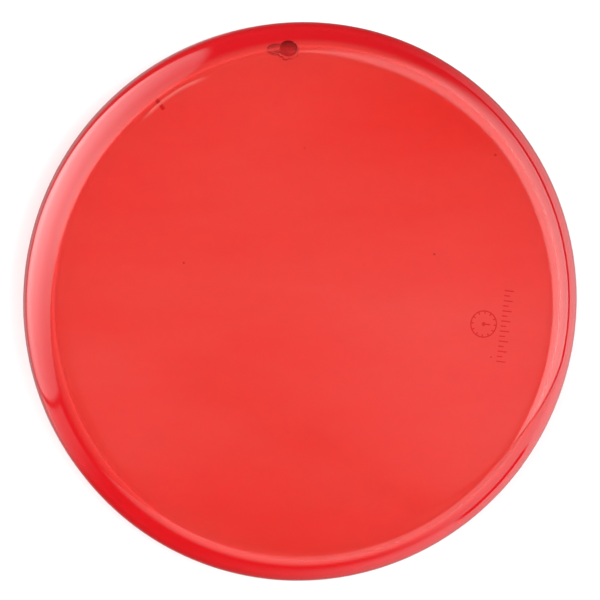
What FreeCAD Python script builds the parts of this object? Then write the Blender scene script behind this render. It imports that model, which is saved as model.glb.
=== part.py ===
"""Translucent flying disc, moulded in one shot. Millimetres, +Z up.

The origin is the centre of the ring that the disc stands on, with the flight plate on top and
the hollow below. The whole disc is one closed curve turned about Z. The disc has no seams, so
it is cut here into the zones that players name (flight plate, shoulder, rim), face to face,
and the small marks that the mould leaves on the underside are bodies of their own.
"""
import FreeCAD, Part

import math
import os

# Driving dimensions
OUTER_RADIUS = 117.5
HEIGHT = 25.0
PLATE_THICKNESS = 1.6
SHOULDER_RADIUS = 13.5      # outside curve from the plate down to the rim's wall
GROOVE_RADIUS = 10.8        # inside curve that the fingers hook under
LIP_INNER_RADIUS = 110.9    # the lip's edge, the narrowest part of the underside's mouth
FOOT_OUTER_ROUND = 2.4
FOOT_INNER_ROUND = 1.6
LIP_TOP_ROUND = 0.7

GATE_DISTANCE = 106.9       # from the disc's axis
GATE_ANGLE = 94.8
GATE_CORE_LENGTH = 7.0      # along the rim
GATE_CORE_WIDTH = 5.8
GATE_CORE_DROP = 2.2
GATE_SKIN_LENGTH = 13.5
GATE_SKIN_WIDTH = 6.6
GATE_SKIN_DROP = 0.3
GATE_SKIN_SHIFT = 2.5       # the skin trails off to one side of the core
GATE_SKIN_INSET = 1.4       # and towards the disc's axis
GATE_SKIN_POINTS = 36
GATE_SKIN_WAVES = (5, 9)    # waves round the skin's ragged edge
GATE_SKIN_WAVE_DEPTH = 0.05

RELIEF = 0.3                # how far the other marks stand down from the plate
STROKE = 0.55
MARK_ANGLE = -6.9
DIAL_DISTANCE = 74.6
DIAL_RADIUS = 5.8
DIAL_TICKS = 12
DIAL_TICK_LENGTH = 1.2
DIAL_HUB_RADIUS = 0.85
SCALE_DISTANCE = 84.0
SCALE_LENGTH = 30.0
SCALE_MARKS = 15
SCALE_LONG_MARK = 4.0
SCALE_SHORT_MARK = 2.4
VENT_DISTANCES = (102.7, 106.0)
VENT_ANGLE = 127.0
VENT_LENGTH = 2.3
VENT_WIDTH = 1.6

# Worked out from the above
FLAT_RADIUS = OUTER_RADIUS - SHOULDER_RADIUS
CEILING = HEIGHT - PLATE_THICKNESS
WALL_TOP = HEIGHT - SHOULDER_RADIUS
GROOVE_CENTRE_Z = CEILING - GROOVE_RADIUS
LIP_TURN = math.acos((LIP_INNER_RADIUS - FLAT_RADIUS) / GROOVE_RADIUS)
LIP_TOP = GROOVE_CENTRE_Z - GROOVE_RADIUS * math.sin(LIP_TURN)

ORIGIN = FreeCAD.Vector(0, 0, 0)
UP = FreeCAD.Vector(0, 0, 1)
OVERLAP = 1.0               # how far a cutting body reaches past what it cuts


def on_arc(centre_z, radius, angle):
    """A point on one of the section's arcs, whose centres stand under the flat's edge."""
    reach = FLAT_RADIUS + radius * math.cos(angle)
    return FreeCAD.Vector(reach, 0, centre_z + radius * math.sin(angle))


def section():
    """Half of the disc's section, from the axis out to the rim, with square corners."""
    axis_top = FreeCAD.Vector(0, 0, HEIGHT)
    flat_end = FreeCAD.Vector(FLAT_RADIUS, 0, HEIGHT)
    wall_top = FreeCAD.Vector(OUTER_RADIUS, 0, WALL_TOP)
    foot_outer = FreeCAD.Vector(OUTER_RADIUS, 0, 0)
    foot_inner = FreeCAD.Vector(LIP_INNER_RADIUS, 0, 0)
    lip = FreeCAD.Vector(LIP_INNER_RADIUS, 0, LIP_TOP)
    ceiling_end = FreeCAD.Vector(FLAT_RADIUS, 0, CEILING)
    axis_ceiling = FreeCAD.Vector(0, 0, CEILING)
    shoulder_middle = on_arc(WALL_TOP, SHOULDER_RADIUS, math.pi / 4)
    groove_middle = on_arc(GROOVE_CENTRE_Z, GROOVE_RADIUS, 0)
    edges = [
        Part.makeLine(axis_top, flat_end),
        Part.Arc(flat_end, shoulder_middle, wall_top).toShape(),
        Part.makeLine(wall_top, foot_outer),
        Part.makeLine(foot_outer, foot_inner),
        Part.makeLine(foot_inner, lip),
        Part.Arc(lip, groove_middle, ceiling_end).toShape(),
        Part.makeLine(ceiling_end, axis_ceiling),
        Part.makeLine(axis_ceiling, axis_top),
    ]
    return Part.Face(Part.Wire(edges))


def circles(solid, radius, height):
    """The solid's circular edges of this radius at this height."""
    found = []
    for edge in solid.Edges:
        curve = edge.Curve
        if isinstance(curve, Part.Circle):
            if abs(curve.Radius - radius) < 1e-4 and abs(curve.Center.z - height) < 1e-4:
                found.append(edge)
    return found


def disc():
    """The whole moulding, with its foot and its lip rounded."""
    solid = section().revolve(ORIGIN, UP, 360)
    for radius, height, size in (
        (OUTER_RADIUS, 0, FOOT_OUTER_ROUND),
        (LIP_INNER_RADIUS, 0, FOOT_INNER_ROUND),
        (LIP_INNER_RADIUS, LIP_TOP, LIP_TOP_ROUND),
    ):
        solid = solid.makeFillet(size, circles(solid, radius, height))
    return solid


def cylinder(radius, bottom, top):
    return Part.makeCylinder(radius, top - bottom, FreeCAD.Vector(0, 0, bottom))


def hollow_under(whole):
    """The space under the plate, as far out as the lip. It is the largest piece left over."""
    pieces = cylinder(LIP_INNER_RADIUS, 0, CEILING).cut(whole).Solids
    return max(pieces, key=lambda piece: piece.Volume)


def ring(inner, outer, bottom, top):
    return cylinder(outer, bottom, top).cut(cylinder(inner, bottom, top))


def post(length_x, length_y):
    """A tall block about the Z axis, which hang() trims to a mark."""
    corner = FreeCAD.Vector(-length_x / 2, -length_y / 2, WALL_TOP)
    return Part.makeBox(length_x, length_y, HEIGHT - WALL_TOP, corner)


def hang(mark, drop, hollow):
    """Trims a tall mark to what stands down by drop from the disc's underside."""
    below = hollow.copy()
    below.translate(-drop * UP)
    return mark.common(hollow).cut(below)


def placed(mark, distance, angle):
    """Moves a mark drawn about the axis, with +X outwards, to its place on the disc."""
    mark.translate(FreeCAD.Vector(distance, 0, 0))
    mark.rotate(ORIGIN, UP, angle)
    return mark


def gate_core():
    """The oval stub left where the plastic came in."""
    long_end = FreeCAD.Vector(0, GATE_CORE_LENGTH / 2, WALL_TOP)
    short_end = FreeCAD.Vector(GATE_CORE_WIDTH / 2, 0, WALL_TOP)
    outline = Part.Ellipse(long_end, short_end, FreeCAD.Vector(0, 0, WALL_TOP))
    return Part.Face(Part.Wire(outline.toShape())).extrude((HEIGHT - WALL_TOP) * UP)


def gate_skin():
    """The thin skin round the stub, an oval with a ragged edge."""
    points = []
    for index in range(GATE_SKIN_POINTS):
        turn = 2 * math.pi * index / GATE_SKIN_POINTS
        waves = sum(math.sin(count * turn + count) for count in GATE_SKIN_WAVES)
        ragged = 1 + GATE_SKIN_WAVE_DEPTH * waves
        across = ragged * GATE_SKIN_WIDTH / 2 * math.cos(turn) - GATE_SKIN_INSET
        along = ragged * GATE_SKIN_LENGTH / 2 * math.sin(turn) + GATE_SKIN_SHIFT
        points.append(FreeCAD.Vector(across, along, WALL_TOP))
    outline = Part.BSplineCurve()
    outline.interpolate(points, PeriodicFlag=True)
    return Part.Face(Part.Wire(outline.toShape())).extrude((HEIGHT - WALL_TOP) * UP)


def gate_vestige(hollow):
    core = hang(placed(gate_core(), GATE_DISTANCE, GATE_ANGLE), GATE_CORE_DROP, hollow)
    skin = hang(placed(gate_skin(), GATE_DISTANCE, GATE_ANGLE), GATE_SKIN_DROP, hollow)
    return core.fuse(skin)


def mould_dial(hollow):
    """A plain round dial: a ring with ticks inside it, and a pointer on a hub."""
    marks = ring(DIAL_RADIUS - STROKE, DIAL_RADIUS, WALL_TOP, HEIGHT)
    for index in range(DIAL_TICKS):
        tick = post(DIAL_TICK_LENGTH, STROKE)
        tick.translate(FreeCAD.Vector(DIAL_RADIUS - STROKE / 2 - DIAL_TICK_LENGTH / 2, 0, 0))
        tick.rotate(ORIGIN, UP, 360 * index / DIAL_TICKS)
        marks = marks.fuse(tick)
    pointer = post(DIAL_RADIUS / 2, STROKE)
    pointer.translate(FreeCAD.Vector(DIAL_RADIUS / 4, 0, 0))
    marks = marks.fuse(cylinder(DIAL_HUB_RADIUS, WALL_TOP, HEIGHT).fuse(pointer))
    return hang(placed(marks.removeSplitter(), DIAL_DISTANCE, MARK_ANGLE), RELIEF, hollow)


def mould_scale(hollow):
    """A plain row of strokes along the radius, every other one shorter."""
    strokes = []
    for index in range(SCALE_MARKS):
        length = SCALE_SHORT_MARK if index % 2 else SCALE_LONG_MARK
        along = SCALE_LENGTH * (index / (SCALE_MARKS - 1) - 1 / 2)
        stroke = post(length, STROKE)
        stroke.translate(FreeCAD.Vector((length - SCALE_LONG_MARK) / 2, along, 0))
        strokes.append(hang(placed(stroke, SCALE_DISTANCE, MARK_ANGLE), RELIEF, hollow))
    return Part.makeCompound(strokes)


def vent_marks(hollow):
    """Two short dashes in line, one either side of the flat's edge."""
    dashes = []
    for distance in VENT_DISTANCES:
        dash = placed(post(VENT_LENGTH, VENT_WIDTH), distance, VENT_ANGLE)
        dashes.append(hang(dash, RELIEF, hollow))
    return Part.makeCompound(dashes)


def parts():
    whole = disc()
    hollow = hollow_under(whole)
    beyond = OUTER_RADIUS + OVERLAP
    return {
        "flight_plate": whole.common(cylinder(FLAT_RADIUS, WALL_TOP, HEIGHT + OVERLAP)),
        "shoulder": whole.common(ring(FLAT_RADIUS, beyond, WALL_TOP, HEIGHT + OVERLAP)),
        "rim": whole.common(ring(FLAT_RADIUS, beyond, -OVERLAP, WALL_TOP)),
        "gate_vestige": gate_vestige(hollow),
        "mould_dial": mould_dial(hollow),
        "mould_scale": mould_scale(hollow),
        "vent_marks": vent_marks(hollow),
    }


os.makedirs("parts", exist_ok=True)
for name, shape in parts().items():
    shape.exportStep(f"parts/{name}.step")
    print(f"{name}: {len(shape.Solids)} solid(s), {shape.Volume:.1f} mm3, valid {shape.isValid()}")
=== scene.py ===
import math
import random

import bpy
from mathutils import Matrix, Vector


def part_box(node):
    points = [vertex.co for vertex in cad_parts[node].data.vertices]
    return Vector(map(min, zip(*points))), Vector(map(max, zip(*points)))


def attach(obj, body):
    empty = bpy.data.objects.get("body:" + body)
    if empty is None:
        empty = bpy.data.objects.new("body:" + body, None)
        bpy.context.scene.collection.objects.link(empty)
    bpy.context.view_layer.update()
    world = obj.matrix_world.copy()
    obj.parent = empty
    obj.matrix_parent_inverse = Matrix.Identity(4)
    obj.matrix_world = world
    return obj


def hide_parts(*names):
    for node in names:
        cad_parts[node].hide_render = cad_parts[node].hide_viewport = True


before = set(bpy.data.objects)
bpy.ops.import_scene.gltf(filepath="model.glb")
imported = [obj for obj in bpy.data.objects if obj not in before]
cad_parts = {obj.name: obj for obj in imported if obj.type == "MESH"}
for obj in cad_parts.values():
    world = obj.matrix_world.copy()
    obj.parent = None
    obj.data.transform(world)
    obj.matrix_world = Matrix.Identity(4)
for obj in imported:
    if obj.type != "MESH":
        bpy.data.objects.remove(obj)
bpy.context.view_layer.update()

MM = 0.001
TAU = 2 * math.pi

# The moulding's section, in metres
RIM_LOW, RIM_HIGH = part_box("rim")
PLATE_LOW, PLATE_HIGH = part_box("flight_plate")
OUTER = 117.5 * MM
TOP = PLATE_HIGH.z
CEILING = PLATE_LOW.z - 0.03 * MM   # the marks under the plate are sunk this far into it
WALL_TOP = RIM_HIGH.z
FLAT = 104.0 * MM
SHOULDER = OUTER - FLAT
GROOVE = 10.8 * MM
GROOVE_Z = CEILING - GROOVE
LIP = 110.9 * MM
FOOT_OUTER = 2.4 * MM
FOOT_INNER = 1.6 * MM
LIP_ROUND = 0.7 * MM
TURN_STEPS = 384
DROOP = 2.2                 # degrees that the top leans outwards by where the shoulder begins
DROOP_START = 100.0 * MM

PLATE_RED = (0.98, 0.226, 0.196)
EDGE_LIFTED_RED = (0.99, 0.213, 0.184)     # painted light: a touch more red towards the plate's edge, lifting the shade the rim casts under it
RIM_RED = (0.72, 0.0105, 0.0155)
# painted highlight: a pale pink sheen near the plate's edge, where it mirrors a light
SHEEN_PINK = (0.88, 0.55, 0.52)
SPECK = (0.25, 0.004, 0.006)
CLEAR_BELOW = 0.22          # the plate's underside is a little milky, its top is clear
CLEAR_EDGE = 0.24
CLEAR_RIM = 0.42

SHEEN_R = 105.3 * MM        # the painted sheen's outer edge, at its middle
SHEEN_ANGLE = 123.5         # degrees round from +X
SHEEN_HALF = 10.0
SHEEN_BEND = 1.2 * MM       # how much nearer the axis its ends are
SHEEN_WIDTH = 2.0 * MM

STUB_INSET = (4.9 * MM, 3.2 * MM)   # from the corner of the gate's box to the middle of the stub
STUB_HALF = (3.5 * MM, 3.05 * MM)   # along the rim and outwards
SKIN_REACH = 4.2 * MM               # how far the torn skin reaches from the middle of the stub
SKIN_TAIL = 5.2 * MM                # and how much further where it trails off along the rim
TURNS = [TAU * i / 72 for i in range(72)]
TORN, CLEAR, THREAD, GLINT_PALE = range(4)    # the scar's material slots; the last is a pale pink that paints glints

FLOOR_HALF = 8.0
TILT = 11.0                 # the view's angle off the disc's axis
SIDE = 159.0                # the side it tilts to, degrees round from +X
DISTANCE = 1.2
LENS = 171.6
SENSOR = 36.0
AIM_RIGHT = -2.3 * MM
AIM_UP = 1.3 * MM


def arc(centre_r, centre_z, radius, start, end, steps, side=1):
    """Points of an arc of the section with the way its surface faces; side -1 faces the centre."""
    points = []
    for i in range(steps + 1):
        a = math.radians(start + (end - start) * i / steps)
        c, s = math.cos(a), math.sin(a)
        points.append((centre_r + radius * c, centre_z + radius * s, side * c, side * s))
    return points


def straight(start, end, facing, cuts):
    """Points of a straight stretch of the section, at the shares of its length in cuts."""
    points = []
    for t in cuts:
        r = start[0] + (end[0] - start[0]) * t
        z = start[1] + (end[1] - start[1]) * t
        points.append((r, z, *facing))
    return points


def eased(r, nr, nz):
    """The way the top really faces: it begins to turn down a little before the shoulder's curve."""
    lean = math.radians(DROOP) * min(max((r - DROOP_START) / (FLAT - DROOP_START), 0.0), 1.0) ** 1.5
    turn = math.hypot(math.atan2(nr, nz), lean)
    return math.sin(turn), math.cos(turn)


def section():
    """The section from the top's centre out, round the foot and lip, and back under the plate."""
    reach = GROOVE + LIP_ROUND
    lip_r = LIP + LIP_ROUND
    lip_z = GROOVE_Z - math.sqrt(reach ** 2 - (lip_r - FLAT) ** 2)
    lip_angle = math.degrees(math.atan2(GROOVE_Z - lip_z, FLAT - lip_r))
    plate_cuts = [i / 26 for i in range(1, 26)] + [0.967, 0.973, 0.979, 0.985, 0.991, 0.996]
    points = straight((0, TOP), (FLAT, TOP), (0, 1), plate_cuts)
    points += arc(FLAT, WALL_TOP, SHOULDER, 90, 0, 40)
    points += straight((OUTER, WALL_TOP), (OUTER, FOOT_OUTER), (1, 0), (0.25, 0.5, 0.75))
    points += arc(OUTER - FOOT_OUTER, FOOT_OUTER, FOOT_OUTER, 0, -90, 12)
    points += arc(LIP + FOOT_INNER, FOOT_INNER, FOOT_INNER, -90, -180, 10)
    points += arc(lip_r, lip_z, LIP_ROUND, 180, lip_angle, 6)
    points += arc(FLAT, GROOVE_Z, GROOVE, lip_angle - 180, 90, 40, -1)
    points += straight((FLAT, CEILING), (0, CEILING), (0, -1), [1 - t for t in reversed(plate_cuts)])
    return points


def moulding():
    """The whole disc as one skin, because inside the real one there is no seam for light to meet."""
    rings = section()
    verts, normals, faces = [], [], []
    for r, z, nr, nz in rings:
        if nz > 0 and z > WALL_TOP:
            nr, nz = eased(r, nr, nz)
        for i in range(TURN_STEPS):
            a = TAU * i / TURN_STEPS
            verts.append((r * math.cos(a), r * math.sin(a), z))
            normals.append((nr * math.cos(a), nr * math.sin(a), nz))
    for k in range(len(rings) - 1):
        for i in range(TURN_STEPS):
            j = (i + 1) % TURN_STEPS
            a, b = k * TURN_STEPS, (k + 1) * TURN_STEPS
            faces.append((a + i, b + i, b + j, a + j))
    last = (len(rings) - 1) * TURN_STEPS
    for first, z, up in ((0, TOP, 1), (last, CEILING, -1)):
        centre = len(verts)
        verts.append((0, 0, z))
        normals.append((0, 0, up))
        for i in range(TURN_STEPS):
            j = (i + 1) % TURN_STEPS
            faces.append((centre, first + i, first + j) if up > 0 else (centre, first + j, first + i))
    mesh = bpy.data.meshes.new("disc_moulding")
    mesh.from_pydata(verts, [], faces)
    mesh.polygons.foreach_set("use_smooth", [True] * len(mesh.polygons))
    mesh.update()
    mesh.normals_split_custom_set_from_vertices(normals)
    ob = bpy.data.objects.new("disc_moulding", mesh)
    bpy.context.scene.collection.objects.link(ob)
    return ob


class Nodes:
    """Short names for building a node tree."""

    def __init__(self, tree):
        self.tree = tree
        tree.nodes.clear()

    def put(self, socket, value):
        if isinstance(value, bpy.types.NodeSocket):
            self.tree.links.new(value, socket)
        else:
            socket.default_value = value

    def new(self, kind, inputs=(), **settings):
        node = self.tree.nodes.new(kind)
        for name, value in settings.items():
            setattr(node, name, value)
        for key, value in dict(inputs).items():
            self.put(node.inputs[key], value)
        return node

    def math(self, operation, *values):
        node = self.new("ShaderNodeMath", operation=operation)
        for socket, value in zip(node.inputs, values):
            self.put(socket, value)
        return node.outputs[0]

    def ramp(self, value, low, high, to_low=0.0, to_high=1.0, kind="SMOOTHSTEP"):
        node = self.new("ShaderNodeMapRange", interpolation_type=kind)
        for key, number in (("From Min", low), ("From Max", high), ("To Min", to_low), ("To Max", to_high)):
            self.put(node.inputs[key], number)
        self.put(node.inputs["Value"], value)
        return node.outputs["Result"]

    def blend(self, share, first, second):
        """One colour turning into another as share goes from 0 to 1."""
        return self.new("ShaderNodeMix", {0: share, 6: first, 7: second}, data_type="RGBA").outputs[2]

    def length(self, a, b):
        return self.math("SQRT", self.add(self.math("POWER", a, 2.0), self.math("POWER", b, 2.0)))

    def add(self, *values):
        total = values[0]
        for value in values[1:]:
            total = self.math("ADD", total, value)
        return total

    def times(self, *values):
        total = values[0]
        for value in values[1:]:
            total = self.math("MULTIPLY", total, value)
        return total


class Sky(Nodes):
    """Node shortcuts that know which way a ray looks: az round from +X and el up, in degrees."""

    def __init__(self, tree):
        super().__init__(tree)
        way = self.new("ShaderNodeTexCoord").outputs["Generated"]
        self.x, self.y, z = self.new("ShaderNodeSeparateXYZ", {0: way}).outputs
        self.az = self.math("MULTIPLY", self.math("ARCTAN2", self.y, self.x), 180 / math.pi)
        self.el = self.math("MULTIPLY", self.math("ARCSINE", z), 180 / math.pi)

    def beside(self, centre):
        """How far round from an azimuth, positive to the left of someone facing out."""
        return self.math("WRAP", self.math("SUBTRACT", self.az, centre), 180.0, -180.0)

    def either_side(self, centre, inner, outer):
        """1 round an azimuth, falling away on both sides."""
        return self.ramp(self.math("ABSOLUTE", self.beside(centre)), inner, outer, 1.0, 0.0)

    def above(self, edge, soft):
        return self.ramp(self.math("SUBTRACT", self.el, edge), -soft, soft)

    def below(self, edge, soft):
        return self.ramp(self.math("SUBTRACT", edge, self.el), -soft, soft)

    def top_edge(self, steepest, centre):
        """A flat panel's level top edge, which looks lower further round from its middle."""
        turn = self.math("COSINE", self.math("MULTIPLY", self.beside(centre), math.pi / 180))
        slope = self.math("MULTIPLY", turn, math.tan(math.radians(steepest)))
        return self.math("MULTIPLY", self.math("ARCTANGENT", slope), 180 / math.pi)

    def beyond(self, centre, reach):
        """Further from the zenith than a straight edge that lies squarely towards an azimuth."""
        c, s = math.cos(math.radians(centre)), math.sin(math.radians(centre))
        out = self.add(self.times(self.x, c), self.times(self.y, s))
        return self.ramp(out, reach - 0.004, reach + 0.004)

    def patch(self, at_x, at_y, width, power, core=0.0):
        """A soft round patch on the ceiling, placed by how far it is off the zenith."""
        away = self.length(self.add(self.x, -at_x), self.add(self.y, -at_y))
        return self.ramp(away, core, width, power, 0.0)


def skirting_gap(sky):
    """The dark gap between the right panel and the low light: its middle, and half its height.

    It is level in front and climbs to one side.
    """
    beyond_front = sky.times(sky.add(sky.beside(0), 14.0), -1 / 14)
    climb = sky.math("POWER", sky.math("MAXIMUM", beyond_front, 0.0), 1.3)
    middle = sky.add(7.0, sky.times(47.0, climb))
    return middle, sky.ramp(middle, 7.0, 25.0, 4.8, 3.6)


def ceiling_light(sky, middle, gap):
    """A pale ceiling, dimmer in its middle and on two sides, with a few soft lamps in it."""
    dim = -0.66
    north = sky.times(sky.either_side(88, 30.0, 62.0), sky.ramp(sky.el, 22.0, 40.0))
    west = sky.either_side(212, 34.0, 48.0)
    sides = sky.times(sky.math("MAXIMUM", north, west), dim)
    from_gap = sky.math("ABSOLUTE", sky.math("SUBTRACT", sky.el, middle))
    off_gap = sky.ramp(from_gap, sky.add(gap, -1.0), sky.add(gap, 1.0))
    past_gap = sky.math("SUBTRACT", 1.0, sky.either_side(350, 32.0, 38.0))
    return sky.times(
        sky.ramp(sky.el, 30.0, 58.0),
        sky.math("MAXIMUM", off_gap, past_gap),
        sky.add(
            1.0,
            sky.math("MINIMUM", sky.patch(0.08, 0.0, 0.62, dim, 0.42), sides),
            sky.patch(0.245, -0.11, 0.12, 0.6),
            sky.patch(0.235, 0.0, 0.09, -0.3),
            sky.patch(0.185, -0.16, 0.1, -0.35),
            sky.patch(0.11, -0.11, 0.07, 0.3),
        ),
    )


def left_panel(sky):
    """A tall panel, a little streaky, brightest in its middle, with a lower edge that curls up."""
    way = sky.beside(152)
    curl = sky.math("POWER", sky.math("MAXIMUM", sky.times(sky.add(way, -10.0), -1 / 62), 0.0), 1.3)
    drawn = sky.new("ShaderNodeCombineXYZ", {0: sky.times(way, 1 / 70), 1: sky.times(sky.el, 1 / 5), 2: 0.0})
    streaks = sky.new("ShaderNodeTexNoise", {"Vector": drawn.outputs[0], "Scale": 1.0, "Detail": 2.0})
    return sky.times(
        sky.add(sky.times(sky.either_side(156, 0.0, 60.0), 3.0), 1.4),
        sky.ramp(streaks.outputs[0], 0.32, 0.6, 0.9, 1.04),
        sky.ramp(sky.el, 0.0, 66.0, 1.3, 0.68),
        sky.ramp(sky.el, -58.0, -26.0, 0.35, 1.0),
        sky.ramp(way, -50.0, -46.0),
        sky.ramp(way, 53.8, 56.0, 1.0, 0.0),
        sky.below(sky.top_edge(70.5, 133), 1.0),
        sky.above(sky.add(sky.times(curl, 46.0), -56.0), 5.0),
    )


def left_spill(sky):
    """What spills past the left panel's end, after a narrow gap."""
    way = sky.beside(207)
    return sky.times(
        sky.ramp(way, 1.0, 3.0),
        sky.ramp(way, 2.0, 26.0, 1.0, 0.0),
        sky.below(25.0, 5.0),
        sky.above(-56.0, 6.0),
    )


def right_panel(sky, middle, gap):
    """A panel above the skirting gap, whose corner nearest the zenith has three straight edges."""
    way = sky.beside(0)
    end = sky.ramp(sky.el, 5.0, 66.0, 34.0, 56.0, "LINEAR")
    corner = sky.times(sky.beyond(66.4, 0.14), sky.beyond(33.7, 0.2146), sky.beyond(17.5, 0.2154))
    near_edge = sky.ramp(sky.add(sky.x, sky.times(sky.y, -0.22)), 0.085, 0.13)
    return sky.times(
        sky.ramp(way, -15.0, 45.0, 4.5, 2.6),
        sky.ramp(sky.el, 45.0, 68.0, 1.0, 0.64),
        sky.ramp(sky.math("SUBTRACT", way, end), -16.0, 10.0, 1.0, 0.0),
        sky.ramp(way, -37.0, -30.0),
        sky.math("MAXIMUM", sky.beyond(22, 0.2807), corner),
        sky.math("MAXIMUM", near_edge, sky.ramp(sky.el, 60.0, 68.0, 1.0, 0.0)),
        sky.above(sky.add(middle, gap), 1.0),
    )


def low_light(sky, middle, gap):
    """Low light at the lower right, below the skirting gap, with a narrow post standing in it."""
    way = sky.beside(350)
    post_end = sky.ramp(sky.math("ABSOLUTE", sky.add(sky.el, -4.0)), 5.0, 9.0, 1.0, 0.0)
    post = sky.times(sky.either_side(320, 7.5, 10.5), post_end)
    return sky.times(
        sky.add(sky.times(sky.either_side(350, 0.0, 85.0), 2.1), 0.6),
        sky.ramp(way, 28.0, 78.0, 1.0, 0.0),
        sky.ramp(way, -100.0, -52.0),
        sky.ramp(sky.el, -55.0, 0.0, 0.12, 1.0, "LINEAR"),
        sky.ramp(sky.el, 20.0, 60.0, 1.0, 0.55),
        sky.math("MAXIMUM", sky.ramp(sky.el, 5.0, 30.0, 1.0, 0.0), sky.ramp(way, -66.0, -30.0)),
        sky.below(65.0, 1.5),
        sky.below(sky.math("SUBTRACT", middle, gap), 1.0),
        sky.math("SUBTRACT", 1.0, post),
    )


def near_panel(sky):
    """The dim panel on the near side, with a level top edge."""
    way = sky.beside(272)
    return sky.times(
        sky.ramp(sky.el, 28.0, 44.0, 0.0, 0.95),
        sky.ramp(way, -54.0, -36.0),
        sky.ramp(way, 24.0, 50.0, 1.0, 0.4),
        sky.ramp(way, 52.0, 56.0, 1.0, 0.0),
        sky.below(sky.top_edge(66.5, 300), 1.2),
    )


def studio():
    """Soft light all round for the disc to mirror, while the camera sees plain white behind it."""
    world = bpy.data.worlds.new("studio")
    bpy.context.scene.world = world
    world.use_nodes = True
    sky = Sky(world.node_tree)
    middle, gap = skirting_gap(sky)
    total = sky.add(
        ceiling_light(sky, middle, gap),
        left_panel(sky),
        left_spill(sky),
        right_panel(sky, middle, gap),
        low_light(sky, middle, gap),
        near_panel(sky),
        sky.ramp(sky.el, -70.0, -40.0, 0.3, 0.04),
    )
    white = (1, 1, 1, 1)
    light = sky.new("ShaderNodeBackground", {"Color": white, "Strength": sky.math("MAXIMUM", total, 0.0)})
    plain = sky.new("ShaderNodeBackground", {"Color": white, "Strength": 1.05})
    seen = sky.new("ShaderNodeLightPath").outputs["Is Camera Ray"]
    mix = sky.new("ShaderNodeMixShader", {0: seen, 1: light.outputs[0], 2: plain.outputs[0]})
    sky.new("ShaderNodeOutputWorld", {"Surface": mix.outputs[0]})


def output(n, shader):
    """Gives a material's shader to its output."""
    n.new("ShaderNodeOutputMaterial", {"Surface": shader.outputs[0]})


def stub_centre():
    """The middle of the gate's stub, which is off the middle of the torn skin round it."""
    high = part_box("gate_vestige")[1]
    return Vector((high.x - STUB_INSET[0], high.y - STUB_INSET[1], 0))


def body_colour(n, place, r, angle):
    """Red that is paler in the thin plate and crimson in the thick rim, with slow clouds in it, painted
    light lifting the plate's edge and painted shade on the rim's top and sides.
    """
    flow_way = (0, 0, math.radians(38))
    drawn = n.new("ShaderNodeMapping", {"Vector": place, "Rotation": flow_way, "Scale": (1.0, 3.2, 1.0)})
    clouds = n.new(
        "ShaderNodeTexNoise",
        {"Vector": drawn.outputs[0], "Scale": 11.0, "Detail": 5.0, "Roughness": 0.6},
    )
    cloudy = n.ramp(clouds.outputs[0], 0.3, 0.7, 1.10, 0.90, "LINEAR")
    # painted light: the plate's red rises towards its edge to offset the shade the rim casts there
    plate = n.blend(n.ramp(r, 50 * MM, FLAT), (*PLATE_RED, 1), (*EDGE_LIFTED_RED, 1))
    plate_red, plate_green, plate_blue = n.new("ShaderNodeSeparateColor", {0: plate}).outputs
    deeper = n.times(cloudy, n.ramp(r, 105.4 * MM, 108.0 * MM, 1.0, 0.15))
    around = n.math("MULTIPLY", angle, math.pi / 180)
    sideways = n.math("POWER", n.math("COSINE", around), 2.0)
    # painted shade: the rim's red is darker at its top and at the two sides where the highlights lie, and
    # lighter at its bottom, following how the light falls
    painted_rim_shade = n.add(1.01, n.times(n.math("SINE", around), -0.12), n.times(sideways, -0.10))
    return n.new("ShaderNodeCombineColor", {
        0: n.ramp(r, 106.7 * MM, 108.4 * MM, plate_red, n.times(painted_rim_shade, RIM_RED[0])),
        1: n.ramp(r, 108.2 * MM, 110.6 * MM, n.times(plate_green, deeper), RIM_RED[1]),
        2: n.ramp(r, 108.2 * MM, 110.6 * MM, n.times(plate_blue, deeper), RIM_RED[2]),
    }).outputs[0]


def painted_sheen_mask(n, r, angle):
    """A painted sheen near the plate's edge, where it mirrors a light, sharp on its outer side and fading
    inwards.
    """
    along = n.math("MULTIPLY", n.add(angle, -SHEEN_ANGLE), 1 / SHEEN_HALF)
    edge = n.add(SHEEN_R, n.times(along, along, -SHEEN_BEND))
    behind = n.math("SUBTRACT", edge, r)
    return n.times(
        n.ramp(n.math("ABSOLUTE", along), 0.55, 1.0, 1.0, 0.0),
        n.ramp(behind, 0.0, 0.25 * MM),
        n.ramp(behind, 0.3 * MM, SHEEN_WIDTH, 1.0, 0.0),
    )


def speck_mask(n, place):
    """A few dark specks: only some cells have one, and each is a little different in size."""
    cells = n.new("ShaderNodeTexVoronoi", {"Vector": place, "Scale": 38.0}, voronoi_dimensions="2D")
    chance = n.new("ShaderNodeSeparateColor", {0: cells.outputs["Color"]}).outputs[0]
    size = n.ramp(chance, 0.72, 1.0, 0.0, 0.015, "LINEAR")
    return n.ramp(n.math("SUBTRACT", size, cells.outputs["Distance"]), -0.003, 0.004)


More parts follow.
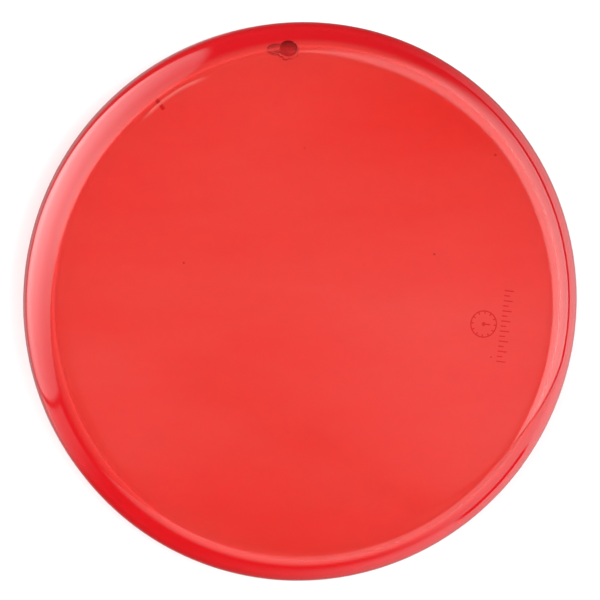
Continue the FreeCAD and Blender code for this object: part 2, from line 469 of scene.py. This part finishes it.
def clearness(n, x, y, z, r, sheen):
    """How clear it is: the plate's top is clear, its underside milky, and the rim milky all through.

    It is clearer over the gate's stub and over the torn skin beside it.
    """
    above = n.add(z, n.times(n.math("MAXIMUM", n.add(r, -FLAT), 0.0), 0.3))
    under_plate = n.ramp(r, 50 * MM, FLAT, CLEAR_BELOW, CLEAR_EDGE)
    below = n.ramp(r, FLAT, 108 * MM, under_plate, 0.05)
    # painted sheen: the top is made a little less clear under it
    skin = n.add(n.ramp(above, CEILING + 0.5 * MM, TOP - 0.5 * MM, below, 1.0), n.times(sheen, -0.12))
    to_rim = n.ramp(r, 105.8 * MM, 108.2 * MM, skin, CLEAR_RIM)
    stub = stub_centre()
    from_stub = n.length(n.times(n.add(x, -stub.x), 0.86), n.add(y, -stub.y))
    over_stub = n.ramp(from_stub, 3.1 * MM, 3.5 * MM, 1.0, 0.0)
    from_skin = n.length(n.times(n.add(x, -stub.x, 5.0 * MM), 0.58), n.add(y, -stub.y, 0.4 * MM))
    over_skin = n.ramp(from_skin, 2.2 * MM, 3.0 * MM, 0.75, 0.0)
    return n.math("MAXIMUM", to_rim, n.math("MAXIMUM", over_stub, over_skin))


def plastic():
    """Clear red plastic, milkier where it is thick, with a painted sheen near its edge, a few specks and
    faint ripples in it.
    """
    mat = bpy.data.materials.new("red_translucent")
    mat.use_nodes = True
    n = Nodes(mat.node_tree)
    place = n.new("ShaderNodeTexCoord").outputs["Object"]
    x, y, z = n.new("ShaderNodeSeparateXYZ", {0: place}).outputs
    r = n.math("SQRT", n.add(n.times(x, x), n.times(y, y)))
    angle = n.math("MULTIPLY", n.math("ARCTAN2", y, x), 180 / math.pi)
    sheen = painted_sheen_mask(n, r, angle)
    # painted highlight: the sheen blends the plate's colour towards pale pink
    with_sheen = n.blend(n.times(sheen, 0.45), body_colour(n, place, r, angle), (*SHEEN_PINK, 1))
    colour = n.blend(n.times(speck_mask(n, place), 0.6), with_sheen, (*SPECK, 1))
    flow = n.new("ShaderNodeTexNoise", {"Vector": place, "Scale": 25.0, "Detail": 4.0})
    bump = n.new("ShaderNodeBump", {"Height": flow.outputs[0], "Strength": 0.02, "Distance": 0.001})
    surface = n.new("ShaderNodeBsdfPrincipled", {
        "Base Color": colour,
        "Roughness": 0.06,
        "IOR": 1.5,
        "Transmission Weight": clearness(n, x, y, z, r, sheen),
        "Normal": bump.outputs[0],
    })
    output(n, surface)
    return mat


def solid_red(name, colour, deep, roughness, grain, shine=0.5):
    """Plastic seen as a solid dark red, mottled between two tones."""
    mat = bpy.data.materials.new(name)
    mat.use_nodes = True
    n = Nodes(mat.node_tree)
    place = n.new("ShaderNodeTexCoord").outputs["Object"]
    noise = n.new("ShaderNodeTexNoise", {"Vector": place, "Scale": grain, "Detail": 3.0})
    mottled = n.blend(n.ramp(noise.outputs[0], 0.35, 0.65), (*colour, 1), (*deep, 1))
    bump = n.new("ShaderNodeBump", {"Height": noise.outputs[0], "Strength": 0.3, "Distance": 0.0002})
    surface = n.new("ShaderNodeBsdfPrincipled", {
        "Base Color": mottled,
        "Roughness": roughness,
        "IOR": 1.5,
        "Specular IOR Level": shine,
        "Normal": bump.outputs[0],
    })
    output(n, surface)
    return mat


def ceiling_at(r):
    """The height of the underside that a mark hangs from."""
    top = PLATE_LOW.z
    return top if r < FLAT else top - GROOVE + math.sqrt(GROOVE ** 2 - (r - FLAT) ** 2)


class Scar:
    """The mesh of the gate's scar, built from rings of points (u, v, drop).

    u runs along the rim and v outwards, both from the stub's centre, and drop is how far below
    the underside the point is.
    """

    def __init__(self):
        centre = stub_centre()
        self.r, self.a = centre.length, math.atan2(centre.y, centre.x)
        self.verts, self.faces, self.kinds = [], [], []

    def spot(self, u, v, drop):
        r = min(self.r + v, LIP - 0.3 * MM)
        a = self.a + u / self.r
        self.verts.append((r * math.cos(a), r * math.sin(a), ceiling_at(r) - drop))

    def body(self, rings, kind):
        """Closes rings, each as long as the others, into one body with a point at each end."""
        count = len(rings[0])
        start = len(self.verts)
        for ring in rings:
            for point in ring:
                self.spot(*point)
        for k in range(len(rings) - 1):
            for i in range(count):
                j = (i + 1) % count
                a, b = start + k * count, start + (k + 1) * count
                self.faces.append((a + i, b + i, b + j, a + j))
                self.kinds.append(kind)
        for ring, first in ((rings[0], True), (rings[-1], False)):
            mid = len(self.verts)
            self.spot(*[sum(values) / count for values in zip(*ring)])
            base = start if first else start + (len(rings) - 1) * count
            for i in range(count):
                j = (i + 1) % count
                self.faces.append((mid, base + i, base + j) if first else (mid, base + j, base + i))
                self.kinds.append(kind)


def skin_reach(turn):
    """How far the torn skin reaches from the stub's centre, for a turn in radians from along the rim."""
    tail = SKIN_TAIL * max(math.cos(turn - 0.18), 0.0) ** 7
    inwards = 0.4 * MM * max(-math.sin(turn), 0.0)
    ragged = 0.12 * math.sin(5 * turn + 0.6) + 0.08 * math.sin(11 * turn + 2.0) + 0.05 * math.sin(17 * turn)
    return (SKIN_REACH + tail + inwards) * (1 + 0.55 * ragged)


def stub_rings():
    """The stub, from its root, sunk in the plate, down its side and over its torn end."""
    rng = random.Random(7)
    waves = [(rng.uniform(0, TAU), rng.choice((3, 4, 6, 9, 13))) for _ in range(4)]

    def lumpy(turn, size):
        return size * sum(math.sin(count * turn + phase) for phase, count in waves)

    sunk = -0.15 * MM
    levels = ((0.3, sunk, 0), (0.65, sunk, 0), (1.04, sunk, 0), (1.06, 0.0, 0), (1.0, 0.35 * MM, 0))
    levels += ((0.985, 1.2 * MM, 1), (0.94, 1.75 * MM, 1), (0.84, 1.95 * MM, 2))
    levels += ((0.6, 1.8 * MM, 3), (0.3, 1.9 * MM, 2))
    rings = []
    for scale, drop, rough in levels:
        ring = []
        for t in TURNS:
            k = scale * (1 + lumpy(t, 0.012))
            down = drop + rough * lumpy(t + scale, 0.06 * MM)
            ring.append((STUB_HALF[0] * k * math.cos(t), STUB_HALF[1] * k * math.sin(t), down))
        rings.append(ring)
    return rings


def sheet_rings():
    """The thin ragged skin round the stub, out along its upper face and back along its lower one."""
    def ring(share, drop):
        reaches = [(t, skin_reach(t) * share) for t in TURNS]
        return [(reach * math.cos(t), reach * math.sin(t), drop) for t, reach in reaches]

    shares = [0.12 * i for i in range(1, 8)] + [0.92, 0.985]
    upper = [ring(share, -0.02 * MM) for share in shares]
    return upper + [ring(1.0, 0.08 * MM)] + [ring(share, 0.2 * MM) for share in reversed(shares)]


def thread_rings(start, end, bead, share=1.0, count=40, around=8):
    """A thin curled thread along the skin's edge, from one turn to another, in degrees."""
    rings = []
    for i in range(count + 1):
        s = i / count
        t = math.radians(start + (end - start) * s)
        reach = skin_reach(t) * share
        taper = math.sin(math.pi * min(max(s, 0.03), 0.97)) ** 0.6
        size = bead * taper * (1 + 0.35 * math.sin(23 * t) + 0.2 * math.sin(41 * t + 1))
        ring = []
        for k in range(around):
            w = TAU * k / around
            out = reach + size * math.cos(w)
            ring.append((out * math.cos(t), out * math.sin(t), size * math.sin(w) - 0.1 * MM))
        rings.append(ring)
    return rings


def gate_scar():
    """The torn stub where the plastic came in, with a thin ragged skin trailing from it and two short
    threads on its edge painted pale as glints.
    """
    scar = Scar()
    scar.body(stub_rings(), TORN)
    scar.body(sheet_rings(), CLEAR)
    scar.body(thread_rings(13, -112, 0.27 * MM), THREAD)
    scar.body(thread_rings(-122, -208, 0.16 * MM), THREAD)
    # painted highlight: two short threads on the skin's edge, coloured pale pink to stand for glints on them
    scar.body(thread_rings(-4, -40, 0.13 * MM, 0.86), GLINT_PALE)
    scar.body(thread_rings(-200, -232, 0.2 * MM, 0.86), GLINT_PALE)
    mesh = bpy.data.meshes.new("gate_scar")
    mesh.from_pydata(scar.verts, [], scar.faces)
    mesh.polygons.foreach_set("material_index", scar.kinds)
    mesh.polygons.foreach_set("use_smooth", [True] * len(scar.faces))
    mesh.update()
    ob = bpy.data.objects.new("gate_scar", mesh)
    bpy.context.scene.collection.objects.link(ob)
    return ob


def floor():
    """A plain pale floor just under the disc, which the disc's own reflections don't show."""
    mesh = bpy.data.meshes.new("floor")
    s = FLOOR_HALF
    mesh.from_pydata([(-s, -s, 0), (s, -s, 0), (s, s, 0), (-s, s, 0)], [], [(0, 1, 2, 3)])
    ob = bpy.data.objects.new("floor", mesh)
    ob.location.z = -0.1 * MM
    bpy.context.scene.collection.objects.link(ob)
    mat = bpy.data.materials.new("paper")
    mat.use_nodes = True
    n = Nodes(mat.node_tree)
    output(n, n.new("ShaderNodeBsdfPrincipled", {"Base Color": (0.95, 0.95, 0.95, 1), "Roughness": 0.9}))
    mesh.materials.append(mat)
    ob.visible_glossy = False


def camera():
    """Nearly along the disc's axis, from a long way off."""
    tilt, side = math.radians(TILT), math.radians(SIDE)
    back = Vector((math.sin(tilt) * math.cos(side), math.sin(tilt) * math.sin(side), math.cos(tilt)))
    centre = Vector((0, 0, TOP / 2))
    data = bpy.data.cameras.new("camera")
    data.sensor_width = SENSOR
    data.lens = LENS
    ob = bpy.data.objects.new("camera", data)
    ob.location = centre + DISTANCE * back
    up = Vector((0, 1, 0))
    up = (up - up.dot(back) * back).normalized()
    right = up.cross(back)
    ob.location += AIM_RIGHT * right + AIM_UP * up
    turn = Matrix((right, up, back)).transposed()
    ob.rotation_mode = "QUATERNION"
    ob.rotation_quaternion = turn.to_quaternion()
    bpy.context.scene.collection.objects.link(ob)
    bpy.context.scene.camera = ob


disc = moulding()
red = plastic()
disc.data.materials.append(red)
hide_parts("flight_plate", "shoulder", "rim")
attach(disc, "root")

marks = solid_red("moulded_marks", (0.66, 0.013, 0.015), (0.59, 0.011, 0.013), 0.5, 900.0, 0.0)
for name in ("mould_dial", "mould_scale", "vent_marks"):
    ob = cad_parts[name]
    ob.data.materials.clear()
    ob.data.materials.append(marks)

scar = gate_scar()
torn = solid_red("torn_plastic", (0.54, 0.014, 0.022), (0.42, 0.011, 0.02), 0.45, 700.0, 0.1)
# painted highlight: pale pink for the threads that stand in for glints on the torn edge
pale = solid_red("torn_edge_glint", (0.98, 0.55, 0.50), (0.95, 0.45, 0.40), 0.4, 700.0, 0.1)
for mat in (torn, red, torn, pale):
    scar.data.materials.append(mat)
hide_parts("gate_vestige")
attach(scar, "root")

floor()
camera()
studio()

scene = bpy.context.scene
scene.view_settings.view_transform = "Standard"
scene.cycles.use_denoising = True
scene.cycles.max_bounces = 16
scene.cycles.transmission_bounces = 16
scene.cycles.diffuse_bounces = 4
scene.cycles.glossy_bounces = 8
scene.cycles.caustics_refractive = True
scene.cycles.caustics_reflective = True
scene.cycles.blur_glossy = 0.5
scene.cycles.sample_clamp_indirect = 20.0
